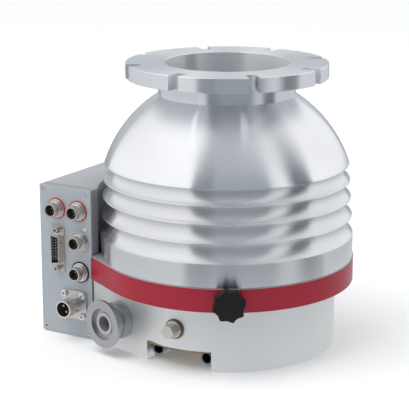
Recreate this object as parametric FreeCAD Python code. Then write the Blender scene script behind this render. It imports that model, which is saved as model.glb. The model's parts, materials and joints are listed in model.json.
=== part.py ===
import FreeCAD, Part
import math
import os

from FreeCAD import Vector

# Turbomolecular pump, in millimetres. Z is the rotor's axis, pointing out of the inlet.
# The origin lies on that axis, in the plane that the base stands on.
# The drive unit is on the -X side, and its connector panel faces -Y.

os.makedirs("parts", exist_ok=True)

# Inlet flange with open slots for its bolts
pump_height = 233.5
inlet_bore_r = 51.0
inlet_flange_r = 82.5
inlet_flange_thickness = 12.0
inlet_slot_circle_r = 72.5
inlet_slot_r = 4.5
inlet_slot_count = 8
inlet_edge_chamfer = 0.5

# Casing: neck, dome, saw-edged cooling ribs and a plain lower band
neck_r = 56.0
casing_r = 104.6
dome_overhang = 1.4
dome_r = casing_r + dome_overhang
dome_centre_z = 117.4
dome_wall = 8.0
rib_count = 4
rib_top_z = 151.0
rib_first_pitch = 13.7
rib_pitch_growth = 0.7
rib_undercut = 6.0
rib_bulge = 2.2
rib_undercut_drop = 0.4
casing_edge_chamfer = 0.6

# Base housing: ring, lobe towards the drive unit, skirt, pocket underneath
joint_z = 73.4
ring_overhang = 0.4
ring_r = casing_r + ring_overhang
ring_height = 19.4
skirt_setback = 14.4
skirt_r = ring_r - skirt_setback
port_face_angle = 105.0
port_face_depth = 2.1
port_face_distance = skirt_r - port_face_depth
drive_face_depth = 2.6
drive_face_x = drive_face_depth - skirt_r
lobe_setback = 34.0
lobe_half_width = ring_r - lobe_setback
foot_width = 12.6
pocket_r = skirt_r - foot_width
pocket_height = 16.5
service_x = 5.3
notch_width = 59.2
stator_wall = 18.6
stator_bore_r = casing_r - stator_wall
stator_seat_z = 44.0
fore_chamber_step = 6.0
fore_chamber_r_out = stator_bore_r - fore_chamber_step
fore_chamber_floor_z = 19.5
boss_r = 54.0
boss_top_z = 38.0
foot_hole_inset = 6.6
foot_hole_circle_r = skirt_r - foot_hole_inset
foot_hole_count = 4
foot_hole_r = 2.1
foot_hole_depth = 12.0
foot_hole_first_angle = 45.0

# Play between pieces that are pushed together, and between a screw and its hole
fit_play = 0.05
hole_play = 0.1
cut_past = 5.0

# Trim band round the ring
band_thickness = 0.4
band_margin = 0.3

# Casing seal and screws
seal_half_width = 1.8
seal_height = 2.6
seal_corner = 0.6
seal_inset = 12.1
seal_r = casing_r - seal_inset
casing_screw_inset = 6.6
casing_screw_circle_r = casing_r - casing_screw_inset
casing_screw_r = 2.5
casing_screw_head_r = 4.25
casing_screw_head_height = 5.0
casing_screw_depth = 9.0
casing_screw_angles = (-112.5, -67.5, -22.5, 22.5, 67.5, 112.5)
casing_screw_sink = 0.6

# Turbine stages, from the inlet down
rotor_top_z = 171.0
rotor_hub_r = 43.0
rotor_core_r = 39.5
spacer_width = 8.0
rotor_tip_r = stator_bore_r - spacer_width
rotor_blade_heights = (13.0, 10.0, 8.0, 6.0)
stator_blade_heights = (9.0, 7.5, 6.0)
rotor_blade_angles = (42.0, 34.0, 27.0, 21.0)
stator_blade_angles = (42.0, 38.0, 34.0)
blade_count = 20
blade_root_thickness = 2.4
blade_tip_thickness = 1.5
stator_blade_thickness = 1.8
blade_root_overlap = 0.8
stage_gap = 1.5
tip_gap = 1.5
stator_hub_gap = 1.5
stator_hub_wall = 2.5
stator_split_gap = 0.3

# Rotor hub, bell and drag drum
rotor_nose_r = 34.0
rotor_nose_height = 5.0
rotor_recess_r = 28.0
rotor_recess_depth = 14.0
rotor_plate_thickness = 10.0
rotor_web_thickness = 5.0
bell_r = 36.0
drum_setback = 8.0
drum_r = rotor_tip_r - drum_setback
drum_wall = 4.0
drum_bottom_z = 42.0
drum_gap = 0.8
drag_groove_depth = 3.5
drag_groove_count = 6
drag_groove_width = 9.0
drag_groove_margin = 4.0
drag_groove_twist = 60.0
drag_groove_steps = 5
vent_groove_height = 6.0
vent_groove_depth = 2.0
vent_groove_hole_r = 2.0

# Bearing column in the middle, and what it holds
column_r = 34.0
column_bore_r = 27.0
column_flange_r = 52.0
column_flange_height = 6.0
column_spigot_r = 30.0
column_bottom_z = 20.0
column_floor = 3.0
column_top_z = 142.0
column_lip_height = 9.0
column_screw_count = 6
column_screw_circle_r = 44.0
column_screw_r = 2.5
column_screw_head_r = 4.25
column_screw_head_height = 5.0
column_screw_depth = 10.0

# Shaft and its sleeves
shaft_r = 12.0
shaft_end_r = 8.0
shaft_flange_r = 28.0
shaft_flange_height = 6.0
shaft_floor_gap = 1.0
journal_r = 15.0
magnet_r = 15.2
air_gap = 0.8
thrust_disc_r = 25.0
thrust_disc_thickness = 6.0
axial_gap = 0.8
axial_core_height = 7.0
axial_core_r_in = 14.0
axial_coil_r_in = 18.0
axial_coil_r_out = 23.0
axial_coil_depth = 4.0
radial_bearing_height = 18.0
motor_height = 30.0
core_spacing = 3.6
coil_overhang = 1.5
coil_r_in = 18.0
coil_r_out = 24.0
core_spacer_wall = 1.4
sleeve_margin = 1.0

# Touch-down ball bearings, which the rotor meets only when its magnets let go
touchdown_height = 7.0
touchdown_gap = 0.3
ball_share = 0.23
ball_play = 0.3
race_gap = 2.4
lower_touchdown_r = 18.0
upper_touchdown_r = 22.0
touchdown_ball_count = 8

# Rotor bolts
rotor_bolt_count = 6
rotor_bolt_circle_r = 20.0
rotor_bolt_r = 2.5
rotor_bolt_head_r = 4.25
rotor_bolt_head_height = 5.0

# Fore-vacuum port, a small clamp flange on the slanted face of the base
port_offset = -34.0
port_z = 26.5
port_reach = 20.0
port_flange_r = 20.0
port_rim_thickness = 3.0
port_taper_angle = 15.0
port_neck_r = 14.0
port_collar_r = 15.5
port_collar_length = 8.0
port_recess_r = 13.0
port_recess_depth = 3.5
port_land_r = 9.6
port_land_height = 1.2
port_bore_r = 6.4
port_spigot_r = 9.8
port_spigot_length = 7.0

# Sealing-gas plug and its washer
plug_z = 33.0
plug_hex_flats = 10.0
plug_hex_height = 8.5
plug_washer_r = 8.2
plug_washer_thickness = 2.0
plug_collar_r = 7.0
plug_collar_height = 1.5
plug_thread_r = 4.8
plug_thread_length = 8.0
plug_duct_r = 1.5
plug_spot_depth = 1.0

# Vent valve: bush, disc, spindle and star knob
vent_angle = -58.8
vent_z = 63.7
vent_spot_depth = 0.3
vent_seat_wall = 5.0
vent_seat_r = stator_bore_r + vent_seat_wall
vent_duct_r = 2.5
vent_bore_r = 6.0
vent_bush_flange_r = 8.0
vent_bush_flange_height = 3.0
vent_bush_depth = 8.4
vent_disc_r = 4.6
vent_disc_thickness = 3.0
vent_spindle_r = 3.0
vent_spindle_play = 0.08
vent_tip_r = 1.6
vent_tip_length = 1.6
knob_tip_r = 13.2
knob_valley_r = 11.2
knob_lobes = 8
knob_height = 9.0
knob_hub_r = 6.0
knob_hub_height = 2.5
knob_clearance = 0.6
knob_edge_chamfer = 1.0

# Cooling plate, pipe and the two water sockets
water_pitch = 45.4
water_z = 9.0
water_socket_r = 5.9
water_socket_bore_r = 4.1
water_socket_length = 20.0
water_socket_inset = 11.6
water_socket_front_y = water_socket_inset - skirt_r
water_socket_bore_depth = 12.0
water_pipe_r = 3.0
water_pipe_wall = 0.8
water_pipe_straight = 76.0
cooling_plate_thickness = 1.5
cooling_plate_setback = 1.2
cooling_plate_edge = 2.0
cooling_plate_back_y = 44.0

# Drive unit
drive_width = 51.6
drive_inset = 2.0
drive_depth = 2 * (lobe_half_width - drive_inset)
drive_bottom_z = 1.0
drive_height = 127.4
drive_recess_gap = 1.4
drive_wall = 2.5
drive_gap = 1.0
panel_thickness = 2.0
panel_seam_offset = 9.6
panel_screw_inset = 3.6
panel_screw_r = 1.4
panel_screw_head_r = 2.3
panel_screw_head_height = 1.3
panel_screw_length = 8.0
panel_post_size = 7.0
board_thickness = 1.6
board_standoff = 9.0
board_margin = 8.0
drive_screw_r = 2.5
drive_screw_head_r = 4.25
drive_screw_head_height = 3.0
drive_screw_depth = 7.0
drive_screw_y = 50.0
drive_screw_z = (14.0, 44.0)
gasket_margin = 4.0
feedthrough_r = 12.0
feedthrough_z = 30.0
feedthrough_flange_r = 16.0
feedthrough_flange_thickness = 3.0
feedthrough_pin_r = 0.8
feedthrough_pin_circle_r = 7.0
feedthrough_pin_count = 8
feedthrough_pin_reach = 6.0

# Connector panel, with places measured from its inner bottom corner
socket_reach = 10.0
socket_thread_r = 6.0
socket_collar_r = 7.1
socket_collar_height = 2.6
socket_bore_r = 4.5
socket_bore_depth = 8.5
socket_body_r = 5.6
socket_body_length = 12.0
socket_insert_face = 1.6
socket_key_r = 0.8
socket_key_circle_r = 3.2
socket_ring_r = 8.9
socket_ring_thickness = 1.0
red_socket_places = ((34.4, 108.6), (12.7, 108.8))
plain_socket_places = ((11.3, 83.0),)
dark_socket_places = ((11.5, 56.6),)
socket_places = red_socket_places + plain_socket_places + dark_socket_places
serial_place = (33.2, 74.1)
serial_pitch = 33.3
serial_flange_length = 39.2
serial_flange_width = 12.5
serial_flange_thickness = 1.0
serial_shell_length = 25.2
serial_shell_width = 8.6
serial_shell_slant = 1.0
serial_shell_reach = 6.0
serial_shell_wall = 0.8
serial_body_depth = 9.0
serial_insert_top = 1.3
jackscrew_flats = 4.8
jackscrew_reach = 5.4
jackscrew_bore_r = 1.4
power_place = (17.6, 27.6)
power_flange_size = 25.0
power_flange_corner_r = 3.0
power_flange_thickness = 2.0
power_barrel_r = 7.5
power_barrel_wall = 1.3
power_reach = 17.5
power_body_r = 8.5
power_body_depth = 11.0
power_insert_depth = 9.0
power_pin_r = 0.9
power_pin_circle_r = 3.2
power_pin_reach = 4.4
power_pin_count = 3
power_screw_pitch = 18.0
power_screw_head_r = 2.9
power_screw_head_height = 2.2
power_screw_r = 1.5
power_screw_length = 6.0
lens_place = (6.0, 93.9)
lens_r = 1.3
lens_reach = 0.6

# Heights and places that follow from the sizes above
flange_bottom_z = pump_height - inlet_flange_thickness
ring_bottom_z = joint_z - ring_height
stack_top_z = rotor_top_z - rotor_blade_heights[0] - stage_gap
shroud_r = rotor_tip_r + 2.5
spacer_r_in = rotor_tip_r + tip_gap
stack_r = stator_bore_r - fit_play
stator_inner_r = rotor_hub_r + stator_hub_gap


def sphere_height(sphere_r, at_r):
    """Height above the dome's centre where a sphere about it has the radius at_r."""
    return math.sqrt(sphere_r ** 2 - at_r ** 2)


def stage_levels():
    """Bottom and top of each rotor stage and each stator disc, from the inlet down."""
    rotors = []
    stators = []
    top = rotor_top_z
    for stage, height in enumerate(rotor_blade_heights):
        rotors.append((top - height, top))
        top -= height + stage_gap
        if stage < len(stator_blade_heights):
            disc = stator_blade_heights[stage]
            stators.append((top - disc, top))
            top -= disc + stage_gap
    return rotors, stators


rotor_levels, stator_levels = stage_levels()
drag_top_z = rotor_levels[-1][0] - stage_gap
web_bottom_z = rotor_levels[-1][0] - rotor_web_thickness

# Heights inside the bearing column, from its floor up
cavity_floor_z = column_bottom_z + column_floor
lower_touchdown_z = cavity_floor_z
lower_touchdown_top_z = lower_touchdown_z + touchdown_height
axial_lower_z = lower_touchdown_top_z
thrust_disc_z = axial_lower_z + axial_core_height + axial_gap
axial_upper_z = thrust_disc_z + thrust_disc_thickness + axial_gap
lower_bearing_z = axial_upper_z + axial_core_height + core_spacing
motor_z = lower_bearing_z + radial_bearing_height + core_spacing
upper_bearing_z = motor_z + motor_height + core_spacing
column_lip_z = column_top_z - column_lip_height
upper_touchdown_z = column_top_z - touchdown_height
shaft_bottom_z = cavity_floor_z + shaft_floor_gap
rotor_recess_z = rotor_top_z + rotor_nose_height - rotor_recess_depth
shaft_flange_top_z = rotor_recess_z - rotor_plate_thickness
shaft_flange_z = shaft_flange_top_z - shaft_flange_height

# Places of the drive unit
drive_inner_x = drive_face_x - drive_gap
drive_outer_x = drive_inner_x - drive_width
drive_front_y = -drive_depth / 2
drive_rear_y = drive_depth / 2
drive_top_z = drive_bottom_z + drive_height


def save(name, *solids):
    """Writes one named piece, or one group of like pieces, to its own file."""
    shape = solids[0] if len(solids) == 1 else Part.makeCompound(list(solids))
    shape.exportStep("parts/" + name + ".step")


def polar(angle, r=1.0, z=0.0):
    """Point at an angle in degrees round Z."""
    a = math.radians(angle)
    return Vector(r * math.cos(a), r * math.sin(a), z)


def tube(r_out, r_in, z0, z1):
    """Upright ring between two heights; an inner radius of 0 leaves it solid."""
    body = Part.makeCylinder(r_out, z1 - z0, Vector(0, 0, z0))
    if r_in > 0:
        body = body.cut(Part.makeCylinder(r_in, z1 - z0, Vector(0, 0, z0)))
    return body


def rod(r, start, direction, length, r_in=0.0):
    """Cylinder or sleeve from a point along a direction."""
    body = Part.makeCylinder(r, length, start, direction)
    if r_in > 0:
        body = body.cut(Part.makeCylinder(r_in, length, start, direction))
    return body


def turned(points):
    """Solid turned about Z from a closed outline of (r, z) points."""
    outline = [Vector(r, 0, z) for r, z in points]
    face = Part.Face(Part.makePolygon(outline + outline[:1]))
    return face.revolve(Vector(0, 0, 0), Vector(0, 0, 1), 360)


def turned_edges(edges):
    """Solid turned about Z from the edges of a closed outline in the XZ plane."""
    face = Part.Face(Part.Wire(edges))
    return face.revolve(Vector(0, 0, 0), Vector(0, 0, 1), 360)


def prism(points, z0, z1):
    """Upright solid over a closed outline of (x, y) points."""
    outline = [Vector(x, y, z0) for x, y in points]
    face = Part.Face(Part.makePolygon(outline + outline[:1]))
    return face.extrude(Vector(0, 0, z1 - z0))


def box(x0, x1, y0, y1, z0, z1):
    """Block between two corners."""
    return Part.makeBox(x1 - x0, y1 - y0, z1 - z0, Vector(x0, y0, z0))


def around(shape, count, first=0.0):
    """Copies of a shape, evenly round Z."""
    copies = []
    for i in range(count):
        copy = shape.copy()
        copy.rotate(Vector(0, 0, 0), Vector(0, 0, 1), first + i * 360.0 / count)
        copies.append(copy)
    return copies


def at_angles(shape, angles):
    """Copies of a shape at the given angles round Z."""
    copies = []
    for angle in angles:
        copy = shape.copy()
        copy.rotate(Vector(0, 0, 0), Vector(0, 0, 1), angle)
        copies.append(copy)
    return copies


def hexagon(flats, start, direction, length):
    """Hexagonal prism from a point along a direction."""
    corner_r = flats / math.sqrt(3)
    outline = [polar(60 * i, corner_r) for i in range(6)]
    body = Part.Face(Part.makePolygon(outline + outline[:1])).extrude(Vector(0, 0, length))
    body.Placement = FreeCAD.Placement(start, FreeCAD.Rotation(Vector(0, 0, 1), direction))
    return body


def arc_edge(a, b, bulge):
    """Arc between two (r, z) points that stands out by bulge at its middle."""
    start = Vector(a[0], 0, a[1])
    end = Vector(b[0], 0, b[1])
    across = (end - start).normalize()
    middle = (start + end) * 0.5 + Vector(-across.z, 0, across.x) * bulge
    return Part.Arc(start, middle, end).toShape()


def line_edge(a, b):
    """Straight edge between two (r, z) points."""
    return Part.LineSegment(Vector(a[0], 0, a[1]), Vector(b[0], 0, b[1])).toShape()


def sphere_edge(sphere_r, r0, r1):
    """Arc of the dome's outline between two radii."""
    points = []
    first = math.asin(r0 / sphere_r)
    last = math.asin(r1 / sphere_r)
    for angle in (first, (first + last) / 2, last):
        points.append(Vector(sphere_r * math.sin(angle), 0,
                             dome_centre_z + sphere_r * math.cos(angle)))
    return Part.Arc(*points).toShape()


def rib_edges():
    """Outer edge of each saw rib as (r, z), from the dome's lower edge down."""
    z = rib_top_z
    levels = [z]
    for i in range(rib_count):
        z -= rib_first_pitch + i * rib_pitch_growth
        levels.append(z)
    top_r = math.sqrt(dome_r ** 2 - (rib_top_z - dome_centre_z) ** 2)
    step = (casing_r - top_r) / rib_count
    return [(top_r + i * step, z) for i, z in enumerate(levels)]


def tangent_point(r, px, py):
    """Where the tangent from a point touches the circle of radius r about Z, on the -Y side."""
    angle = math.atan2(py, px) + math.acos(r / math.hypot(px, py))
    return r * math.cos(angle), r * math.sin(angle)


def casing_outline():
    """Edges of the casing's wall in the XZ plane, from the inlet down and back up inside."""
    chamfer = inlet_edge_chamfer
    ribs = rib_edges()
    inner_dome_r = dome_r - dome_wall
    flange = [(inlet_bore_r, pump_height), (inlet_flange_r - chamfer, pump_height),
              (inlet_flange_r, pump_height - chamfer), (inlet_flange_r, flange_bottom_z + chamfer),
              (inlet_flange_r - chamfer, flange_bottom_z), (neck_r, flange_bottom_z),
              (neck_r, dome_centre_z + sphere_height(dome_r, neck_r))]
    edges = [line_edge(a, b) for a, b in zip(flange, flange[1:])]
    edges.append(sphere_edge(dome_r, neck_r, ribs[0][0]))
    for upper, lower in zip(ribs, ribs[1:]):
        crease = (upper[0] - rib_undercut, upper[1] - rib_undercut_drop)
        edges.append(line_edge(upper, crease))
        edges.append(arc_edge(crease, lower, rib_bulge))
    foot = [ribs[-1], (casing_r, joint_z + casing_edge_chamfer),
            (casing_r - casing_edge_chamfer, joint_z), (stator_bore_r, joint_z),
            (stator_bore_r, stack_top_z), (shroud_r, stack_top_z),
            (shroud_r, dome_centre_z + sphere_height(inner_dome_r, shroud_r))]
    edges += [line_edge(a, b) for a, b in zip(foot, foot[1:])]
    edges.append(sphere_edge(inner_dome_r, shroud_r, inlet_bore_r))
    edges.append(line_edge((inlet_bore_r, dome_centre_z + sphere_height(inner_dome_r, inlet_bore_r)),
                           (inlet_bore_r, pump_height)))
    return edges


def screw(r, head_r, head_height, length, start, direction):
    """Socket-head screw; start is the underside of its head, and the shank runs along direction."""
    head = rod(head_r, start, direction * -1.0, head_height)
    socket = hexagon(r * 1.7, start - direction * head_height, direction, head_height / 2)
    return head.cut(socket).fuse(rod(r, start, direction, length))


# Casing, one turned piece from the inlet flange down to the base
slot = rod(inlet_slot_r, Vector(inlet_slot_circle_r, 0, flange_bottom_z), Vector(0, 0, 1),
           inlet_flange_thickness)
slot = slot.fuse(box(inlet_slot_circle_r, inlet_flange_r + cut_past, -inlet_slot_r, inlet_slot_r,
                     flange_bottom_z, pump_height))
casing_hole = tube(casing_screw_r + hole_play, 0, joint_z, joint_z + casing_screw_depth)
casing_hole.translate(Vector(casing_screw_circle_r, 0, 0))
casing = turned_edges(casing_outline())
casing = casing.cut(around(slot, inlet_slot_count))
casing = casing.cut(at_angles(casing_hole, casing_screw_angles))
save("casing", casing)

# Base housing: ring with its lobe, slanted port faces, pocket, notch and inner chambers
lobe_x, lobe_y = tangent_point(ring_r, drive_face_x, -lobe_half_width)
lobe = prism([(0, 0), (lobe_x, lobe_y), (drive_face_x, -lobe_half_width),
              (drive_face_x, lobe_half_width), (lobe_x, -lobe_y)], ring_bottom_z, joint_z)
flat_start_angle = math.radians(port_face_angle) - math.acos(port_face_distance / skirt_r)
skirt = tube(skirt_r, 0, 0, ring_bottom_z)
skirt = skirt.fuse(box(drive_face_x, skirt_r * math.cos(flat_start_angle), -skirt_r - cut_past,
                       skirt_r + cut_past, 0, ring_bottom_z))
for side in (-1, 1):
    beyond = box(port_face_distance, 2 * port_face_distance, -2 * skirt_r, 2 * skirt_r,
                 -cut_past, ring_bottom_z)
    beyond.rotate(Vector(0, 0, 0), Vector(0, 0, 1), side * port_face_angle)
    skirt = skirt.cut(beyond)
skirt = skirt.cut(box(-2 * skirt_r, drive_face_x, -skirt_r, skirt_r, 0, ring_bottom_z))
base = skirt.fuse([tube(ring_r, 0, ring_bottom_z, joint_z), lobe])
notch_x0 = service_x - notch_width / 2
notch_x1 = service_x + notch_width / 2
hollows = [
    tube(pocket_r, 0, -cut_past, pocket_height),
    box(notch_x0, notch_x1, -skirt_r - cut_past, 0, -cut_past, pocket_height),
    tube(stator_bore_r, 0, stator_seat_z, joint_z + cut_past),
    tube(fore_chamber_r_out, boss_r, fore_chamber_floor_z, boss_top_z),
    tube(fore_chamber_r_out, 0, boss_top_z, stator_seat_z),
    tube(column_spigot_r + fit_play, 0, column_bottom_z, boss_top_z),
    tube(seal_r + seal_half_width, seal_r - seal_half_width, joint_z - seal_height,
         joint_z + cut_past),
]
casing_screw_seat_z = ring_bottom_z + casing_screw_sink + casing_screw_head_height
screw_hole = tube(casing_screw_r + hole_play, 0, ring_bottom_z - cut_past, joint_z + cut_past)
screw_hole = screw_hole.fuse(tube(casing_screw_head_r + hole_play, 0, ring_bottom_z - cut_past,
                                  casing_screw_seat_z))
screw_hole.translate(Vector(casing_screw_circle_r, 0, 0))
hollows += at_angles(screw_hole, casing_screw_angles)
foot_hole = tube(foot_hole_r, 0, -cut_past, foot_hole_depth)
foot_hole.translate(Vector(foot_hole_circle_r, 0, 0))
hollows += around(foot_hole, foot_hole_count, foot_hole_first_angle)
column_hole = tube(column_screw_r + hole_play, 0, boss_top_z - column_screw_depth, boss_top_z)
column_hole.translate(Vector(column_screw_circle_r, 0, 0))
hollows += around(column_hole, column_screw_count)

port_out = polar(-port_face_angle)
port_seat = port_out * port_face_distance + polar(-port_face_angle + 90.0) * port_offset
port_seat.z = port_z
hollows.append(rod(port_spigot_r + fit_play, port_seat, port_out * -1.0, port_spigot_length))
hollows.append(rod(port_bore_r, port_seat, port_out * -1.0, port_face_distance / 4))
plug_face_y = -math.sqrt(skirt_r ** 2 - service_x ** 2) + plug_spot_depth
plug_seat = Vector(service_x, plug_face_y, plug_z)
plug_out = Vector(0, -1, 0)
hollows.append(rod(plug_washer_r + hole_play, plug_seat, plug_out, cut_past))
hollows.append(rod(plug_thread_r + fit_play, plug_seat, plug_out * -1.0, plug_thread_length))
hollows.append(rod(plug_duct_r, plug_seat, plug_out * -1.0, skirt_r - fore_chamber_r_out + cut_past))

vent_out = polar(vent_angle)
vent_face_r = ring_r - vent_spot_depth


def on_vent(r):
    """Point on the vent valve's axis at a distance from Z."""
    return polar(vent_angle, r, vent_z)


hollows.append(rod(vent_bush_flange_r + hole_play, on_vent(vent_face_r), vent_out, cut_past))
hollows.append(rod(vent_bore_r + fit_play, on_vent(vent_seat_r), vent_out, cut_past + ring_r - vent_seat_r))
hollows.append(rod(vent_duct_r, on_vent(stator_bore_r - cut_past), vent_out,
                   vent_seat_r - stator_bore_r + 2 * cut_past))

drive_seat = Vector(drive_face_x, 0, feedthrough_z)
hollows.append(rod(feedthrough_r + fit_play, drive_seat, Vector(1, 0, 0),
                   -drive_face_x - fore_chamber_r_out + cut_past))
drive_screw_places = [(side * drive_screw_y, z) for side in (-1, 1) for z in drive_screw_z]
for y, z in drive_screw_places:
    hollows.append(rod(drive_screw_r + hole_play, Vector(drive_face_x, y, z), Vector(1, 0, 0),
                       drive_screw_depth))
base = base.cut(hollows)
foot_zone = box(-2 * ring_r, 2 * ring_r, -2 * ring_r, 2 * ring_r, -cut_past, pocket_height)
save("base_housing", base.cut(foot_zone))
save("base_foot", base.common(foot_zone))

# Seal squeezed into its groove, and the screws that hold the base to the casing
seal_top = joint_z
seal_bottom = joint_z - seal_height
seal_outline = []
for r, z, dr, dz in ((-1, seal_bottom, 0, 1), (-1, seal_bottom, 1, 0), (1, seal_bottom, -1, 0),
                     (1, seal_bottom, 0, 1), (1, seal_top, 0, -1), (1, seal_top, -1, 0),
                     (-1, seal_top, 1, 0), (-1, seal_top, 0, -1)):
    half = seal_half_width - fit_play
    seal_outline.append((seal_r + r * half + dr * seal_corner, z + dz * seal_corner))
save("casing_seal", turned(seal_outline))
casing_screw = screw(casing_screw_r, casing_screw_head_r, casing_screw_head_height,
                     joint_z - casing_screw_seat_z + casing_screw_depth - fit_play,
                     Vector(casing_screw_circle_r, 0, casing_screw_seat_z), Vector(0, 0, 1))
save("casing_screws", *at_angles(casing_screw, casing_screw_angles))

# Trim band round the ring and along both sides of its lobe
band_z0 = ring_bottom_z + band_margin
band_z1 = joint_z - band_margin


def band_outline(offset, z0, z1):
    """Ring and lobe outline as one solid, grown by offset."""
    x, y = tangent_point(ring_r + offset, drive_face_x, -lobe_half_width - offset)
    sides = prism([(0, 0), (x, y), (drive_face_x, -lobe_half_width - offset),
                   (drive_face_x, lobe_half_width + offset), (x, -y)], z0, z1)
    return tube(ring_r + offset, 0, z0, z1).fuse(sides)


band = band_outline(band_thickness, band_z0, band_z1)
band = band.cut([tube(ring_r, 0, band_z0, band_z1),
                 prism([(0, 0), (lobe_x, lobe_y), (drive_face_x, -lobe_half_width),
                        (drive_face_x, lobe_half_width), (lobe_x, -lobe_y)], band_z0, band_z1),
                 box(-2 * ring_r, drive_face_x, -2 * ring_r, 2 * ring_r, band_z0, band_z1),
                 rod(vent_bush_flange_r + hole_play, on_vent(vent_face_r), vent_out, cut_past)])
save("trim_band", band)


def blade(r0, r1, z0, z1, angle, root, tip):
    """One inclined blade along +X between two radii and two heights."""
    wires = []
    shift = (z1 - z0) / math.tan(math.radians(angle)) / 2
    for r, thickness in ((r0, root), (r1, tip)):
        half = thickness / math.sin(math.radians(angle)) / 2
        corners = [Vector(r, -shift - half, z0), Vector(r, -shift + half, z0),
                   Vector(r, shift + half, z1), Vector(r, shift - half, z1)]
        wires.append(Part.makePolygon(corners + corners[:1]))
    return Part.makeLoft(wires, True, True)


# Rotor stages: each a ring on the hub with its blades, and a spacing collar below
for stage, (bottom, top) in enumerate(rotor_levels):
    below = rotor_levels[stage + 1][1] if stage + 1 < len(rotor_levels) else bottom
    ring = tube(rotor_hub_r, rotor_core_r + fit_play, below, top)
    one = blade(rotor_hub_r - blade_root_overlap, rotor_tip_r, bottom, top,
                rotor_blade_angles[stage], blade_root_thickness, blade_tip_thickness)
    save("rotor_stage_%d" % (stage + 1), ring.fuse(around(one, blade_count)))

# Stator discs, each in two halves, with blades inclined the other way
for stage, (bottom, top) in enumerate(stator_levels):
    inner = tube(stator_inner_r + stator_hub_wall, stator_inner_r, bottom, top)
    outer = tube(stack_r, spacer_r_in, bottom, top)
    one = blade(stator_inner_r + stator_hub_wall - blade_root_overlap,
                spacer_r_in + blade_root_overlap, bottom, top,
                180.0 - stator_blade_angles[stage], stator_blade_thickness, stator_blade_thickness)
    disc = inner.fuse([outer] + around(one, blade_count, 180.0 / blade_count))
    split = box(-2 * stack_r, 2 * stack_r, -stator_split_gap / 2, stator_split_gap / 2, bottom, top)
    save("stator_disc_%d" % (stage + 1), *disc.cut(split).Solids)

# Spacer rings between the stator discs
spacers = []
spacer_bottoms = [top for bottom, top in stator_levels[1:]] + [drag_top_z]
for (bottom, top), lower in zip(stator_levels, spacer_bottoms):
    spacers.append(tube(stack_r, spacer_r_in, lower, bottom))
save("spacer_rings", *spacers)

# Drag stage stator with slanted grooves inside and a vent groove outside
drag_r_in = drum_r + drum_gap
drag = tube(stack_r, drag_r_in, stator_seat_z, drag_top_z)
groove_z0 = stator_seat_z - cut_past
groove_z1 = drag_top_z - drag_groove_margin
sections = []
for step in range(drag_groove_steps + 1):
    share = step / drag_groove_steps
    z = groove_z0 + share * (groove_z1 - groove_z0)
    corners = [Vector(drag_r_in - cut_past, -drag_groove_width / 2, z),
               Vector(drag_r_in + drag_groove_depth, -drag_groove_width / 2, z),
               Vector(drag_r_in + drag_groove_depth, drag_groove_width / 2, z),
               Vector(drag_r_in - cut_past, drag_groove_width / 2, z)]
    wire = Part.makePolygon(corners + corners[:1])
    wire.rotate(Vector(0, 0, 0), Vector(0, 0, 1), share * drag_groove_twist)
    sections.append(wire)
groove = Part.makeLoft(sections, True, True)
drag = drag.cut(around(groove, drag_groove_count))
drag = drag.cut([tube(stator_bore_r, stack_r - vent_groove_depth, vent_z - vent_groove_height / 2,
                      vent_z + vent_groove_height / 2),
                 rod(vent_groove_hole_r, on_vent(drag_r_in - cut_past), vent_out,
                     stator_bore_r - drag_r_in + cut_past)])
save("drag_stator", drag)

# Bearing column on the base's boss
column = turned([(column_spigot_r, column_bottom_z), (column_spigot_r, boss_top_z),
                 (column_flange_r, boss_top_z), (column_flange_r, boss_top_z + column_flange_height),
                 (column_r, boss_top_z + column_flange_height), (column_r, column_top_z),
                 (upper_touchdown_r + fit_play, column_top_z),
                 (upper_touchdown_r + fit_play, upper_touchdown_z),
                 (journal_r + air_gap, upper_touchdown_z), (journal_r + air_gap, column_lip_z),
                 (column_bore_r, column_lip_z), (column_bore_r, column_bottom_z)])
column_hole = tube(column_screw_r + hole_play, 0, boss_top_z, boss_top_z + column_flange_height)
column_hole.translate(Vector(column_screw_circle_r, 0, 0))
save("bearing_column", column.cut(around(column_hole, column_screw_count)))
column_screw = screw(column_screw_r, column_screw_head_r, column_screw_head_height,
                     column_flange_height + column_screw_depth - fit_play,
                     Vector(column_screw_circle_r, 0, boss_top_z + column_flange_height),
                     Vector(0, 0, -1))
save("column_screws", *around(column_screw, column_screw_count))
core_r = column_bore_r - fit_play
end_plate = turned([(0, column_bottom_z), (core_r, column_bottom_z), (core_r, lower_touchdown_top_z),
                    (lower_touchdown_r + fit_play, lower_touchdown_top_z),
                    (lower_touchdown_r + fit_play, cavity_floor_z), (0, cavity_floor_z)])
save("column_end_plate", end_plate)


def bearing(r_in, r_out, z0, count):
    """Inner race, outer race and balls of a bearing without a cage, its tracks turned as a vee."""
    middle = (r_in + r_out) / 2
    ball_r = ball_share * (r_out - r_in)
    z1 = z0 + touchdown_height
    z_mid = (z0 + z1) / 2
    depth = (ball_r + ball_play) * math.sqrt(2)
    flank = depth - race_gap / 2
    races = []
    for side, wall_r in ((-1, r_in), (1, r_out)):
        lip_r = middle + side * race_gap / 2
        races.append(turned([(wall_r, z0), (lip_r, z0), (lip_r, z_mid - flank),
                             (middle + side * depth, z_mid), (lip_r, z_mid + flank), (lip_r, z1),
                             (wall_r, z1)]))
    ball = Part.makeSphere(ball_r, Vector(middle, 0, z_mid))
    return races[0], races[1], around(ball, count)


lower_inner, lower_outer, lower_balls = bearing(shaft_end_r + touchdown_gap, lower_touchdown_r,
                                                lower_touchdown_z, touchdown_ball_count)
upper_inner, upper_outer, upper_balls = bearing(journal_r + touchdown_gap, upper_touchdown_r,
                                                upper_touchdown_z, touchdown_ball_count)
save("touchdown_outer_races", lower_outer, upper_outer)
save("touchdown_balls", *(lower_balls + upper_balls))
save("lower_touchdown_inner_race", lower_inner)
save("upper_touchdown_inner_race", upper_inner)

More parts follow.
